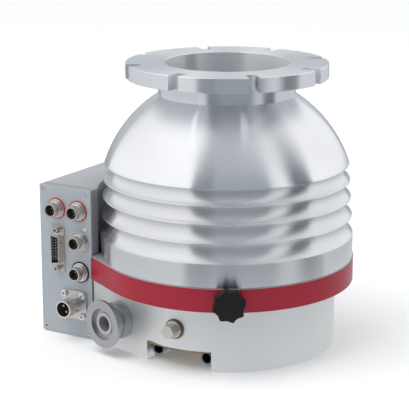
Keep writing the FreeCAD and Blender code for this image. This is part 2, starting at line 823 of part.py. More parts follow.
# Magnets, motor and the spacers between them, stacked in the column
axial_cores = []
coils = []
for z0, coil_z in ((axial_lower_z, axial_lower_z + axial_core_height - axial_coil_depth),
                   (axial_upper_z, axial_upper_z)):
    core = tube(core_r, axial_core_r_in, z0, z0 + axial_core_height)
    axial_cores.append(core.cut(tube(axial_coil_r_out, axial_coil_r_in, coil_z,
                                     coil_z + axial_coil_depth)))
    coils.append(tube(axial_coil_r_out - fit_play, axial_coil_r_in + fit_play, coil_z,
                      coil_z + axial_coil_depth))
core_r_in = magnet_r + air_gap
radial_cores = []
for z0 in (lower_bearing_z, upper_bearing_z):
    radial_cores.append(tube(core_r, core_r_in, z0, z0 + radial_bearing_height))
save("magnet_cores", *(axial_cores + radial_cores))
save("motor_stator", tube(core_r, core_r_in, motor_z, motor_z + motor_height))
for z0, height in ((lower_bearing_z, radial_bearing_height), (motor_z, motor_height),
                   (upper_bearing_z, radial_bearing_height)):
    coils.append(tube(coil_r_out, coil_r_in, z0 - coil_overhang, z0))
    coils.append(tube(coil_r_out, coil_r_in, z0 + height, z0 + height + coil_overhang))
save("magnet_coils", *coils)
spacer_levels = [(axial_lower_z + axial_core_height, axial_upper_z),
                 (axial_upper_z + axial_core_height, lower_bearing_z),
                 (lower_bearing_z + radial_bearing_height, motor_z),
                 (motor_z + motor_height, upper_bearing_z),
                 (upper_bearing_z + radial_bearing_height, column_lip_z)]
save("core_spacers", *[tube(core_r, core_r - core_spacer_wall, z0, z1) for z0, z1 in spacer_levels])

# Rotor hub with its bell and drag drum, turned from one piece
hub = turned([(0, shaft_flange_top_z), (bell_r, shaft_flange_top_z), (bell_r, web_bottom_z),
              (drum_r - drum_wall, web_bottom_z), (drum_r - drum_wall, drum_bottom_z),
              (drum_r, drum_bottom_z), (drum_r, rotor_levels[-1][0]),
              (rotor_core_r, rotor_levels[-1][0]), (rotor_core_r, rotor_top_z),
              (rotor_nose_r, rotor_top_z + rotor_nose_height),
              (rotor_recess_r, rotor_top_z + rotor_nose_height), (rotor_recess_r, rotor_recess_z),
              (0, rotor_recess_z)])
hub_hole = tube(rotor_bolt_r + hole_play, 0, shaft_flange_top_z, rotor_recess_z)
hub_hole.translate(Vector(rotor_bolt_circle_r, 0, 0))
save("rotor_hub", hub.cut(around(hub_hole, rotor_bolt_count)))

# Shaft, its flange, and the sleeves and disc that the magnets act on
shaft = turned([(0, shaft_bottom_z), (shaft_end_r, shaft_bottom_z),
                (shaft_end_r, thrust_disc_z + thrust_disc_thickness),
                (shaft_r, thrust_disc_z + thrust_disc_thickness), (shaft_r, column_lip_z),
                (journal_r, column_lip_z), (journal_r, shaft_flange_z),
                (shaft_flange_r, shaft_flange_z), (shaft_flange_r, shaft_flange_top_z),
                (0, shaft_flange_top_z)])
shaft_hole = tube(rotor_bolt_r + hole_play, 0, shaft_flange_z, shaft_flange_top_z)
shaft_hole.translate(Vector(rotor_bolt_circle_r, 0, 0))
save("rotor_shaft", shaft.cut(around(shaft_hole, rotor_bolt_count)))
save("thrust_disc", tube(thrust_disc_r, shaft_end_r + fit_play, thrust_disc_z,
                         thrust_disc_z + thrust_disc_thickness))
sleeves = []
for z0, height in ((lower_bearing_z, radial_bearing_height), (upper_bearing_z, radial_bearing_height)):
    sleeves.append(tube(magnet_r, shaft_r + fit_play, z0 - sleeve_margin, z0 + height + sleeve_margin))
save("bearing_sleeves", *sleeves)
save("motor_magnet", tube(magnet_r, shaft_r + fit_play, motor_z - sleeve_margin,
                          motor_z + motor_height + sleeve_margin))
rotor_bolt = screw(rotor_bolt_r, rotor_bolt_head_r, rotor_bolt_head_height,
                   rotor_plate_thickness + shaft_flange_height,
                   Vector(rotor_bolt_circle_r, 0, rotor_recess_z), Vector(0, 0, -1))
save("rotor_bolts", *around(rotor_bolt, rotor_bolt_count))


def aim(shape, start, direction):
    """Moves a shape built along +Z from the origin to a seat, along a direction."""
    shape.Placement = FreeCAD.Placement(start, FreeCAD.Rotation(Vector(0, 0, 1), direction))
    return shape


# Fore-vacuum port with its clamp flange
rim_z = port_reach - port_rim_thickness
taper_z = rim_z - (port_flange_r - port_neck_r) * math.tan(math.radians(port_taper_angle))
port = turned([(port_bore_r, -port_spigot_length), (port_spigot_r, -port_spigot_length),
               (port_spigot_r, 0), (port_collar_r, 0), (port_collar_r, port_collar_length),
               (port_neck_r, port_collar_length), (port_neck_r, taper_z),
               (port_flange_r, rim_z), (port_flange_r, port_reach), (port_recess_r, port_reach),
               (port_recess_r, port_reach - port_recess_depth),
               (port_land_r, port_reach - port_recess_depth),
               (port_land_r, port_reach - port_recess_depth + port_land_height),
               (port_bore_r, port_reach - port_recess_depth + port_land_height)])
save("fore_port", aim(port, port_seat, port_out))

# Plug on the sealing-gas duct, with its washer
plug = rod(plug_thread_r, Vector(0, 0, -plug_thread_length), Vector(0, 0, 1),
           plug_thread_length + plug_washer_thickness)
plug = plug.fuse([rod(plug_collar_r, Vector(0, 0, plug_washer_thickness), Vector(0, 0, 1),
                      plug_collar_height),
                  hexagon(plug_hex_flats, Vector(0, 0, plug_washer_thickness + plug_collar_height),
                          Vector(0, 0, 1), plug_hex_height)])
save("gas_plug", aim(plug, plug_seat, plug_out))
save("gas_plug_washer", rod(plug_washer_r, plug_seat, plug_out, plug_washer_thickness,
                            plug_thread_r + fit_play))

# Vent valve: bush in the ring, disc on its seat, spindle and star knob
bush_r_in = vent_spindle_r + vent_spindle_play
bush = turned([(bush_r_in, -vent_bush_depth), (vent_bore_r, -vent_bush_depth), (vent_bore_r, 0),
               (vent_bush_flange_r, 0), (vent_bush_flange_r, vent_bush_flange_height),
               (bush_r_in, vent_bush_flange_height)])
save("vent_bush", aim(bush, on_vent(vent_face_r), vent_out))
disc_bore = vent_disc_thickness / 2
disc = rod(vent_disc_r, Vector(0, 0, 0), Vector(0, 0, 1), vent_disc_thickness)
disc = disc.cut(rod(bush_r_in, Vector(0, 0, disc_bore), Vector(0, 0, 1), vent_disc_thickness))
disc = disc.fuse(rod(vent_tip_r, Vector(0, 0, -vent_tip_length), Vector(0, 0, 1),
                     vent_tip_length + disc_bore))
save("vent_disc", aim(disc, on_vent(vent_seat_r), vent_out))
knob_hub_start = vent_face_r + vent_bush_flange_height + knob_clearance
knob_back = knob_hub_start + knob_hub_height
spindle_end = knob_back + knob_height / 2
save("vent_spindle", rod(vent_spindle_r, on_vent(vent_seat_r + disc_bore), vent_out,
                         spindle_end - vent_seat_r - disc_bore))
lobe_points = []
for i in range(knob_lobes):
    middle = 360.0 * i / knob_lobes
    lobe_points.append(polar(middle, knob_tip_r))
    lobe_points.append(polar(middle + 180.0 / knob_lobes, knob_valley_r))
knob_curve = Part.BSplineCurve()
knob_curve.interpolate(Points=lobe_points, PeriodicFlag=True)
knob = Part.Face(Part.Wire(knob_curve.toShape())).extrude(Vector(0, 0, knob_height))
crown = turned([(0, 0), (knob_tip_r, 0), (knob_tip_r, knob_height - knob_edge_chamfer),
                (knob_tip_r - 2 * knob_edge_chamfer, knob_height), (0, knob_height)])
knob = knob.common(crown)
knob.translate(Vector(0, 0, knob_hub_height))
knob = knob.fuse(rod(knob_hub_r, Vector(0, 0, 0), Vector(0, 0, 1), knob_hub_height))
knob = knob.cut(rod(vent_spindle_r + fit_play, Vector(0, 0, 0), Vector(0, 0, 1),
                    spindle_end - knob_hub_start))
save("vent_knob", aim(knob, on_vent(knob_hub_start), vent_out))

# Cooling plate under the base, its pipe and the two water sockets
plate_z0 = pocket_height - cooling_plate_thickness
plate = tube(pocket_r - cooling_plate_edge, 0, plate_z0, pocket_height)
tongue = tube(skirt_r - cooling_plate_setback, 0, plate_z0, pocket_height)
tongue = tongue.common(box(notch_x0 + cooling_plate_edge, notch_x1 - cooling_plate_edge, -skirt_r, 0,
                           plate_z0, pocket_height))
plate = plate.fuse(tongue)
plate = plate.cut(box(-skirt_r, skirt_r, cooling_plate_back_y, skirt_r, plate_z0, pocket_height))
save("cooling_plate", plate)
socket_x = [service_x - water_pitch / 2, service_x + water_pitch / 2]
water_sockets = []
socket_back_y = water_socket_front_y + water_socket_length
for x in socket_x:
    body = rod(water_socket_r, Vector(x, water_socket_front_y, water_z), Vector(0, 1, 0),
               water_socket_length)
    body = body.cut(rod(water_socket_bore_r, Vector(x, water_socket_front_y, water_z),
                        Vector(0, 1, 0), water_socket_bore_depth))
    body = body.cut(rod(water_pipe_r - water_pipe_wall, Vector(x, water_socket_front_y, water_z),
                        Vector(0, 1, 0), water_socket_length))
    water_sockets.append(body)
save("water_sockets", *water_sockets)
bend_y = socket_back_y + water_pipe_straight
bend_r = water_pitch / 2
path = Part.Wire([
    Part.LineSegment(Vector(socket_x[0], socket_back_y, water_z),
                     Vector(socket_x[0], bend_y, water_z)).toShape(),
    Part.Arc(Vector(socket_x[0], bend_y, water_z), Vector(service_x, bend_y + bend_r, water_z),
             Vector(socket_x[1], bend_y, water_z)).toShape(),
    Part.LineSegment(Vector(socket_x[1], bend_y, water_z),
                     Vector(socket_x[1], socket_back_y, water_z)).toShape()])


def piped(r):
    """Solid swept with a round section along the cooling pipe's path."""
    start = Vector(socket_x[0], socket_back_y, water_z)
    section = Part.Wire(Part.makeCircle(r, start, Vector(0, 1, 0)))
    return path.makePipeShell([section], True, False)


save("water_pipe", piped(water_pipe_r).cut(piped(water_pipe_r - water_pipe_wall)))

# Drive unit: gasket on the base, cast housing hollowed round the casing, frame and panel
recess_r = ring_r + band_thickness + drive_recess_gap
seam_y = drive_front_y + panel_seam_offset
frame_y = drive_front_y + panel_thickness


def drive_block(inset, front, rear, recess):
    """Block of the drive unit, its sides drawn in by inset, without the round recess."""
    body = box(drive_outer_x + inset, drive_inner_x - inset, front, rear, drive_bottom_z + inset,
               drive_top_z - inset)
    return body.cut(tube(recess, 0, ring_bottom_z - drive_recess_gap - inset, drive_top_z + cut_past))


housing = drive_block(0, seam_y, drive_rear_y, recess_r)
housing = housing.cut(drive_block(drive_wall, seam_y - cut_past, drive_rear_y - drive_wall,
                                  recess_r + drive_wall))
wall_holes = [rod(feedthrough_flange_r + hole_play, drive_seat, Vector(-1, 0, 0),
                  drive_gap + drive_wall)]
for y, z in drive_screw_places:
    wall_holes.append(rod(drive_screw_r + hole_play, Vector(drive_face_x, y, z), Vector(-1, 0, 0),
                          drive_gap + drive_wall))
save("drive_housing", housing.cut(wall_holes))
gasket_y = lobe_half_width - 2 * gasket_margin
gasket = box(drive_inner_x, drive_face_x, -gasket_y, gasket_y, drive_bottom_z + gasket_margin,
             ring_bottom_z - gasket_margin)
save("drive_gasket", gasket.cut(wall_holes))
drive_screws = []
for y, z in drive_screw_places:
    drive_screws.append(screw(drive_screw_r, drive_screw_head_r, drive_screw_head_height,
                              drive_wall + drive_gap + drive_screw_depth - fit_play,
                              Vector(drive_inner_x - drive_wall, y, z), Vector(1, 0, 0)))
save("drive_screws", *drive_screws)

frame = drive_block(0, frame_y, seam_y, recess_r)
frame = frame.cut(drive_block(drive_wall, frame_y, seam_y, recess_r + drive_wall))
posts = []
panel_screw_places = []
for x, dx in ((drive_inner_x, -1), (drive_outer_x, 1)):
    for z, dz in ((drive_bottom_z, 1), (drive_top_z, -1)):
        x1 = x + dx * panel_post_size
        z1 = z + dz * panel_post_size
        posts.append(box(min(x, x1), max(x, x1), frame_y, seam_y, min(z, z1), max(z, z1)))
        panel_screw_places.append((x + dx * panel_screw_inset, z + dz * panel_screw_inset))
frame = frame.fuse(posts)
panel_into = Vector(0, 1, 0)
screw_cuts = []
for x, z in panel_screw_places:
    screw_cuts.append(rod(panel_screw_r + fit_play, Vector(x, drive_front_y, z), panel_into,
                          panel_screw_length))
save("drive_front_frame", frame.cut(screw_cuts))


def on_panel(place):
    """Point on the panel's outer face, from its inner bottom corner."""
    return Vector(drive_inner_x - place[0], drive_front_y, drive_bottom_z + place[1])


panel_out = Vector(0, -1, 0)
behind = Vector(0, 1, 0)


def seated(place, shape):
    """Moves a connector piece built along +Z to its place on the panel, upright."""
    turn = FreeCAD.Rotation(Vector(-1, 0, 0), Vector(0, 0, 1), Vector(0, -1, 0), "ZXY")
    shape.Placement = FreeCAD.Placement(on_panel(place), turn).multiply(shape.Placement)
    return shape


def bar(width, length, z0, z1):
    """Block centred on the Z axis."""
    return box(-width / 2, width / 2, -length / 2, length / 2, z0, z1)


def shell_outline(inset, z0, z1):
    """D-shaped serial connector outline, drawn in by inset, long side upright."""
    half = serial_shell_length / 2 - inset
    near = serial_shell_width / 2 - inset
    return prism([(-near, -half + serial_shell_slant), (near, -half), (near, half),
                  (-near, half - serial_shell_slant)], z0, z1)


# Panel with an opening for each connector
openings = []
for place in socket_places:
    openings.append(rod(socket_body_r + hole_play, on_panel(place), behind, panel_thickness))
openings.append(seated(serial_place, shell_outline(-hole_play, -panel_thickness, 0)))
openings.append(rod(power_body_r + hole_play, on_panel(power_place), behind, panel_thickness))
openings.append(rod(lens_r + fit_play, on_panel(lens_place), behind, panel_thickness))
power_screw_places = []
for u in (-1, 1):
    for v in (-1, 1):
        power_screw_places.append((power_place[0] + u * power_screw_pitch / 2,
                                   power_place[1] + v * power_screw_pitch / 2))
jackscrew_places = []
for v in (-1, 1):
    jackscrew_places.append((serial_place[0], serial_place[1] + v * serial_pitch / 2))
for place in power_screw_places:
    openings.append(rod(power_screw_r + fit_play, on_panel(place), behind, panel_thickness))
for x, z in panel_screw_places:
    openings.append(rod(panel_screw_r + fit_play, Vector(x, drive_front_y, z), behind, panel_thickness))
    openings.append(Part.makeCone(panel_screw_head_r + fit_play, panel_screw_r + fit_play,
                                  panel_screw_head_height, Vector(x, drive_front_y, z), behind))
panel = box(drive_outer_x, drive_inner_x, drive_front_y, frame_y, drive_bottom_z, drive_top_z)
save("drive_front_panel", panel.cut(openings))
panel_screws = []
for x, z in panel_screw_places:
    head = Part.makeCone(panel_screw_head_r, panel_screw_r, panel_screw_head_height,
                         Vector(x, drive_front_y, z), behind)
    panel_screws.append(head.fuse(rod(panel_screw_r, Vector(x, drive_front_y, z), behind,
                                      panel_screw_length)))

# Round signal sockets: threaded shell, keyed insert, and a ring under the collar
socket_shells = []
socket_inserts = []
red_rings = []
plain_rings = []
dark_rings = []
for place in socket_places:
    body = turned([(0, -socket_body_length), (socket_body_r, -socket_body_length),
                   (socket_body_r, socket_ring_thickness), (socket_collar_r, socket_ring_thickness),
                   (socket_collar_r, socket_ring_thickness + socket_collar_height),
                   (socket_thread_r, socket_ring_thickness + socket_collar_height),
                   (socket_thread_r, socket_reach), (socket_bore_r, socket_reach),
                   (socket_bore_r, socket_reach - socket_bore_depth),
                   (0, socket_reach - socket_bore_depth)])
    socket_shells.append(seated(place, body))
    floor = socket_reach - socket_bore_depth
    insert = tube(socket_bore_r - fit_play, 0, floor, floor + socket_insert_face)
    key = rod(socket_key_r, Vector(0, socket_key_circle_r, floor), Vector(0, 0, 1),
              socket_bore_depth - socket_insert_face)
    socket_inserts.append(seated(place, insert.fuse(key)))
    ring = seated(place, tube(socket_ring_r, socket_body_r + fit_play, 0, socket_ring_thickness))
    if place in red_socket_places:
        red_rings.append(ring)
    elif place in dark_socket_places:
        dark_rings.append(ring)
    else:
        plain_rings.append(ring)
save("signal_socket_shells", *(socket_shells + plain_rings))
save("signal_socket_inserts", *(socket_inserts + dark_rings))
save("signal_rings", *red_rings)

# Serial connector: flange with its shell, moulded insert and two jackscrews
flange = bar(serial_flange_width, serial_flange_length, 0, serial_flange_thickness)
flange = flange.fuse(shell_outline(0, 0, serial_shell_reach))
flange = flange.cut(shell_outline(serial_shell_wall, 0, serial_shell_reach))
save("serial_shell", seated(serial_place, flange))
insert = shell_outline(serial_shell_wall + fit_play, -serial_body_depth, serial_insert_top)
save("serial_insert", seated(serial_place, insert))
jackscrews = []
for place in jackscrew_places:
    jack = hexagon(jackscrew_flats, Vector(0, 0, serial_flange_thickness), Vector(0, 0, 1),
                   jackscrew_reach - serial_flange_thickness)
    jack = jack.cut(tube(jackscrew_bore_r, 0, serial_flange_thickness * 2, jackscrew_reach))
    jackscrews.append(seated(place, jack))
save("serial_jackscrews", *jackscrews)

# Power connector: square flange with its barrel, insert, pins and screws
corner = power_flange_corner_r
flange = bar(power_flange_size, power_flange_size - 2 * corner, 0, power_flange_thickness)
flange = flange.fuse(bar(power_flange_size - 2 * corner, power_flange_size, 0,
                         power_flange_thickness))
for u in (-1, 1):
    for v in (-1, 1):
        post = tube(corner, 0, 0, power_flange_thickness)
        post.translate(Vector(u * (power_flange_size / 2 - corner),
                              v * (power_flange_size / 2 - corner), 0))
        flange = flange.fuse(post)
power_bore_r = power_barrel_r - power_barrel_wall
flange = flange.fuse([tube(power_barrel_r, 0, power_flange_thickness, power_reach),
                      tube(power_body_r, 0, -power_body_depth, 0)])
flange = flange.cut(tube(power_bore_r, 0, 0, power_reach))
for u in (-1, 1):
    for v in (-1, 1):
        hole = tube(power_screw_r + fit_play, 0, 0, power_flange_thickness)
        hole.translate(Vector(u * power_screw_pitch / 2, v * power_screw_pitch / 2, 0))
        flange = flange.cut(hole)
save("power_shell", seated(power_place, flange.removeSplitter()))
power_floor = power_reach - power_insert_depth
insert = tube(power_bore_r - fit_play, 0, 0, power_floor)
pin = tube(power_pin_r, 0, power_floor, power_floor + power_pin_reach)
pin.translate(Vector(0, power_pin_circle_r, 0))
power_pins = [seated(power_place, one) for one in around(pin, power_pin_count)]
save("power_insert", seated(power_place, insert))
save("power_pins", *power_pins)
power_screws = []
for place in power_screw_places:
    start = on_panel(place) + panel_out * power_flange_thickness
    power_screws.append(screw(power_screw_r, power_screw_head_r, power_screw_head_height,
                              power_screw_length, start, behind))
save("panel_screws", *(panel_screws + power_screws))
lens = rod(lens_r, on_panel(lens_place) + panel_out * lens_reach, behind,
           lens_reach + panel_thickness)
save("status_lens", lens)

# Circuit board on four posts inside the housing, and the feedthrough into the base
board_x = drive_outer_x + drive_wall + board_standoff
board = box(board_x, board_x + board_thickness, seam_y + board_margin,
            drive_rear_y - drive_wall - board_margin, drive_bottom_z + drive_wall + board_margin,
            drive_top_z - drive_wall - board_margin)
board_posts = []
for y in (seam_y + 2 * board_margin, drive_rear_y - drive_wall - 2 * board_margin):
    for z in (drive_bottom_z + drive_wall + 2 * board_margin, drive_top_z - drive_wall - 2 * board_margin):
        board_posts.append(rod(panel_post_size / 2, Vector(drive_outer_x + drive_wall, y, z),
                               Vector(1, 0, 0), board_standoff))
save("circuit_board", board, *board_posts)
feed = rod(feedthrough_r, drive_seat, Vector(1, 0, 0), -drive_face_x - fore_chamber_r_out)
feed = feed.fuse(rod(feedthrough_flange_r, drive_seat, Vector(-1, 0, 0), feedthrough_flange_thickness))
pin_holes = []
pins = []
pin_start = drive_face_x - feedthrough_flange_thickness - feedthrough_pin_reach
for i in range(feedthrough_pin_count):
    turn = math.radians(i * 360.0 / feedthrough_pin_count)
    start = Vector(pin_start, feedthrough_pin_circle_r * math.cos(turn),
                   feedthrough_z + feedthrough_pin_circle_r * math.sin(turn))
    length = feedthrough_flange_thickness - drive_face_x - fore_chamber_r_out + 2 * feedthrough_pin_reach
    pins.append(rod(feedthrough_pin_r, start, Vector(1, 0, 0), length))
    pin_holes.append(rod(feedthrough_pin_r + fit_play, start, Vector(1, 0, 0), length))
save("feedthrough", feed.cut(pin_holes), *pins)
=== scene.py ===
import json
import math

import bmesh
import bpy
from mathutils import Matrix, Vector


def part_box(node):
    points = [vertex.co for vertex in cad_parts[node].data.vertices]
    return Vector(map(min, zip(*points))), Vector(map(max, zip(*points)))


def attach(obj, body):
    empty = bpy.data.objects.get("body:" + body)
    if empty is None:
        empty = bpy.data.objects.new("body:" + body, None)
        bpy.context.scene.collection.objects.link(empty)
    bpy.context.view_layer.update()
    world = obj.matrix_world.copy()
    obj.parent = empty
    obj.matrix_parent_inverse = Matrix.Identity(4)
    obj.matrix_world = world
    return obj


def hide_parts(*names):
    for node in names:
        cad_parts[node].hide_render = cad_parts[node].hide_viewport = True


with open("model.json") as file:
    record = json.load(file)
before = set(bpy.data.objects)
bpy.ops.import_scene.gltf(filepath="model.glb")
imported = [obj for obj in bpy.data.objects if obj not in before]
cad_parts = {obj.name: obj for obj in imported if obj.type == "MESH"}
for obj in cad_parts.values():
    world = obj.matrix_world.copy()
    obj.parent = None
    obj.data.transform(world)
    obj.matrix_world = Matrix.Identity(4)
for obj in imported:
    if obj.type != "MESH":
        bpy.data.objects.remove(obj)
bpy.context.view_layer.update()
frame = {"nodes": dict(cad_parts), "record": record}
nodes = frame["nodes"]
body_of_node = {node: body for body, members in frame["record"]["behaviour"]["bodies"].items()
                for node in members}
slot_of_node = {row["node"]: row["material_slot"] for row in frame["record"]["subparts"]}

MM = 0.001
ORIGIN = (0.0, 0.0, 0.0)
Z_AXIS = (0.0, 0.0, 1.0)
WHITE = (1.0, 1.0, 1.0)

# Heights on the casing and the radius of its inlet, in millimetres
DOME_EDGE = 151.0
FOOT_TOP = 92.0
INLET_R = 51.0

# Angle between faces, in degrees, above which an edge stays sharp
SHARP_EDGE = 30.0


def level(azimuth):
    """Level direction at an angle in degrees, counted from +X towards +Y."""
    a = math.radians(azimuth)
    return math.cos(a), math.sin(a), 0.0


# Finishes
class Wire:
    """A shader value that adds, subtracts, multiplies and compares like a number."""

    def __init__(self, net, socket):
        self.net = net
        self.socket = socket

    def _maths(self, operation, first, second):
        return self.net.node("ShaderNodeMath", {"operation": operation}, {0: first, 1: second})

    def __add__(self, other):
        return self._maths("ADD", self, other)

    def __radd__(self, other):
        return self._maths("ADD", other, self)

    def __sub__(self, other):
        return self._maths("SUBTRACT", self, other)

    def __rsub__(self, other):
        return self._maths("SUBTRACT", other, self)

    def __mul__(self, other):
        return self._maths("MULTIPLY", self, other)

    def __rmul__(self, other):
        return self._maths("MULTIPLY", other, self)

    def __lt__(self, other):
        return self._maths("LESS_THAN", self, other)


class Net:
    """A node tree, and the one way in which nodes are added to it."""

    def __init__(self, tree):
        self.tree = tree

    def node(self, kind, settings=None, inputs=None, output=0):
        """Adds a node with its settings, and values or wires on its sockets."""
        made = self.tree.nodes.new(kind)
        for key, value in (settings or {}).items():
            if key == "stops":
                for stop, (place, colour) in zip(made.color_ramp.elements, value):
                    stop.position = place
                    stop.color = (*colour, 1.0)
            else:
                setattr(made, key, value)
        for key, value in (inputs or {}).items():
            self.feed(made.inputs[key], value)
        return Wire(self, made.outputs[output])

    def feed(self, socket, value):
        """Puts a wire, a number, a vector or an opaque colour on a socket."""
        if isinstance(value, Wire):
            self.tree.links.new(value.socket, socket)
        elif isinstance(value, tuple) and len(value) == 3 and len(socket.default_value) == 4:
            socket.default_value = (*value, 1.0)
        else:
            socket.default_value = value

    def step(self, value, start, end):
        """Zero before the start, one after the end, and a smooth change between them."""
        return self.node("ShaderNodeMapRange", {"interpolation_type": "SMOOTHSTEP"},
                         {"Value": value, "From Min": start, "From Max": end})


class Finish(Net):
    """One material: its nodes, and the shader that they feed."""

    def __init__(self, name):
        self.material = bpy.data.materials.new(name)
        self.material.use_nodes = True
        super().__init__(self.material.node_tree)
        self.shader = self.tree.nodes["Principled BSDF"]

    def shade(self, **sockets):
        """Sets or feeds the shader's own sockets, their names written with underscores."""
        for key, value in sockets.items():
            self.feed(self.shader.inputs[key.replace("_", " ")], value)
        return self.material

    def place(self):
        """Where a point of the piece is, in metres."""
        return self.node("ShaderNodeTexCoord", output=3)

    def place_from(self, centre):
        """Where a point of the piece is, counted from a centre."""
        return self.node("ShaderNodeVectorMath", {"operation": "SUBTRACT"},
                         {0: self.place(), 1: centre})

    def axis_distance(self, centre, axis):
        """How far a point of the piece is from an axis."""
        radial = self.node("ShaderNodeVectorMath", {"operation": "CROSS_PRODUCT"},
                           {0: self.place_from(centre), 1: axis})
        return self.node("ShaderNodeVectorMath", {"operation": "LENGTH"}, {0: radial}, 1)

    def stretched(self, scale):
        """The piece's place, scaled along each axis."""
        return self.node("ShaderNodeMapping", None, {"Vector": self.place(), "Scale": scale})

    def lathe_place(self, centre, axis, pitch):
        """Place as (distance from the lathe's axis, height along it), in tool-mark pitches."""
        distance = self.axis_distance(centre, axis)
        height = self.node("ShaderNodeVectorMath", {"operation": "DOT_PRODUCT"},
                           {0: self.place_from(centre), 1: axis}, 1)
        return self.node("ShaderNodeCombineXYZ", None,
                         {0: distance * (1.0 / pitch), 1: height * (1.0 / pitch)})

    def grain(self, where, scale=1.0, detail=3.0, roughness=0.55):
        """Noise from zero to one."""
        return self.node("ShaderNodeTexNoise", None,
                         {"Vector": where, "Scale": scale, "Detail": detail, "Roughness": roughness})

    def mixed(self, factor, first, second):
        """Colour between two colours."""
        return self.node("ShaderNodeMix", {"data_type": "RGBA"},
                         {0: factor, 6: first, 7: second}, 2)

    def bump(self, height, strength, distance):
        return self.node("ShaderNodeBump", None,
                         {"Height": height, "Strength": strength, "Distance": distance})

    def ramp(self, factor, *stops):
        """Colour from two stops of (place, colour)."""
        return self.node("ShaderNodeValToRGB", {"stops": stops}, {"Fac": factor})


def turned_metal(name, colour, dark, roughness, centre=ORIGIN, axis=Z_AXIS, pitch=0.5 * MM,
                 depth=0.01 * MM, shine=1.0, bore=0.0):
    """Metal with fine lathe marks round an axis, a faint change of polish and a dull bore."""
    look = Finish(name)
    marks = look.grain(look.lathe_place(centre, axis, pitch), 1.0, 4.0, 0.6)
    clouds = look.grain(look.place(), 18.0, 2.0)
    if bore:
        shine = shine - (look.axis_distance(centre, axis) < bore) * 0.6
    return look.shade(Base_Color=look.mixed(marks * 0.5 + clouds * 0.5, dark, colour),
                      Metallic=shine,
                      Roughness=(clouds - 0.5) * 0.10 + (marks - 0.5) * 0.08 + roughness,
                      Normal=look.bump(marks, 0.35, depth))


def casing_metal():
    """Bright turned aluminium, drawn out along the lathe's marks.

    It is duller inside the inlet and softer on the dome; its greyer colour on the ribs and the foot
    is painted shade.
    """
    look = Finish("turned_casing")
    marks = look.grain(look.lathe_place(ORIGIN, Z_AXIS, 0.7 * MM), 1.0, 4.0, 0.6)
    clouds = look.grain(look.place(), 18.0, 2.0)
    height = look.node("ShaderNodeSeparateXYZ", None, {0: look.place()}, 2)
    inside = look.axis_distance(ORIGIN, Z_AXIS) < (INLET_R + 0.3) * MM
    dome = look.step(height, (DOME_EDGE - 2) * MM, (DOME_EDGE + 24) * MM)
    below_dome = look.step(height, DOME_EDGE * MM, (DOME_EDGE - 3) * MM)
    foot = look.step(height, (FOOT_TOP + 1) * MM, (FOOT_TOP - 1) * MM)
    ribs = below_dome - foot
    bright = look.mixed(marks * 0.5 + clouds * 0.5, (0.80, 0.81, 0.84), (0.88, 0.89, 0.91))
    # Below the dome the colour is a greyer copy of the same alloy: painted shade that dims the
    # reflections on the ribs and the foot
    return look.shade(Base_Color=look.mixed(below_dome * 0.8, bright, (0.70, 0.705, 0.72)),
                      Metallic=1.0 - inside * 0.3,
                      Roughness=(clouds + marks) * 0.03 + inside * 0.08 + dome * 0.10
                      + ribs * 0.07 + 0.17,
                      Anisotropic=1.0, Anisotropic_Rotation=0.25,
                      Normal=look.bump(marks, 0.3, 0.003 * MM))


def milled_metal(name, colour, dark, roughness, scale=(60.0, 900.0, 900.0)):
    """Metal with fine straight cutter marks."""
    look = Finish(name)
    marks = look.grain(look.stretched(scale), 1.0, 3.0)
    clouds = look.grain(look.place(), 25.0, 2.0)
    return look.shade(Base_Color=look.mixed(marks * 0.4 + clouds * 0.6, dark, colour),
                      Metallic=1.0, Roughness=(clouds - 0.5) * 0.14 + roughness,
                      Normal=look.bump(marks, 0.3, 0.01 * MM))


def coated(name, colour, dark, roughness, grain_scale=1500.0, gloss=0.5):
    """Painted or powder-coated surface with a fine orange-peel grain."""
    look = Finish(name)
    peel = look.grain(look.place(), grain_scale, 2.0)
    clouds = look.grain(look.place(), 14.0, 2.0)
    return look.shade(Base_Color=look.mixed(clouds, dark, colour),
                      Roughness=(clouds - 0.5) * 0.08 + roughness, Specular_IOR_Level=gloss,
                      Normal=look.bump(peel, 0.25, 0.03 * MM))


def moulded(name, colour, dark, roughness, grain_scale=2200.0, depth=0.04 * MM, gloss=0.35):
    """Moulded plastic or rubber with a fine spark-eroded grain."""
    look = Finish(name)
    pits = look.grain(look.place(), grain_scale, 3.0)
    clouds = look.grain(look.place(), 60.0, 2.0)
    return look.shade(Base_Color=look.mixed(pits * 0.5 + clouds * 0.5, dark, colour),
                      Roughness=(pits - 0.5) * 0.12 + roughness, Specular_IOR_Level=gloss,
                      Normal=look.bump(pits, 0.4, depth))


def threaded_metal(name, colour, dark, roughness, pitch=1.0 * MM, depth=0.06 * MM):
    """Plated metal with a thread's ridges along Y."""
    look = Finish(name)
    waves_per_metre = 0.314 / pitch
    ridges = look.node("ShaderNodeTexWave", {"bands_direction": "Y", "wave_profile": "SIN"},
                       {"Vector": look.place(), "Scale": waves_per_metre, "Distortion": 0.0})
    clouds = look.grain(look.place(), 300.0, 2.0)
    return look.shade(Base_Color=look.mixed(ridges * 0.6 + clouds * 0.4, dark, colour),
                      Metallic=1.0, Roughness=(clouds - 0.5) * 0.16 + roughness,
                      Normal=look.bump(ridges, 0.5, depth))


def tarnished(name, colour, dark, roughness, scale=120.0):
    """Copper alloy with uneven tarnish."""
    look = Finish(name)
    stains = look.grain(look.place(), scale, 5.0, 0.65)
    return look.shade(Base_Color=look.ramp(stains, (0.35, dark), (0.62, colour)), Metallic=1.0,
                      Roughness=(stains - 0.5) * 0.3 + roughness,
                      Normal=look.bump(stains, 0.2, 0.03 * MM))


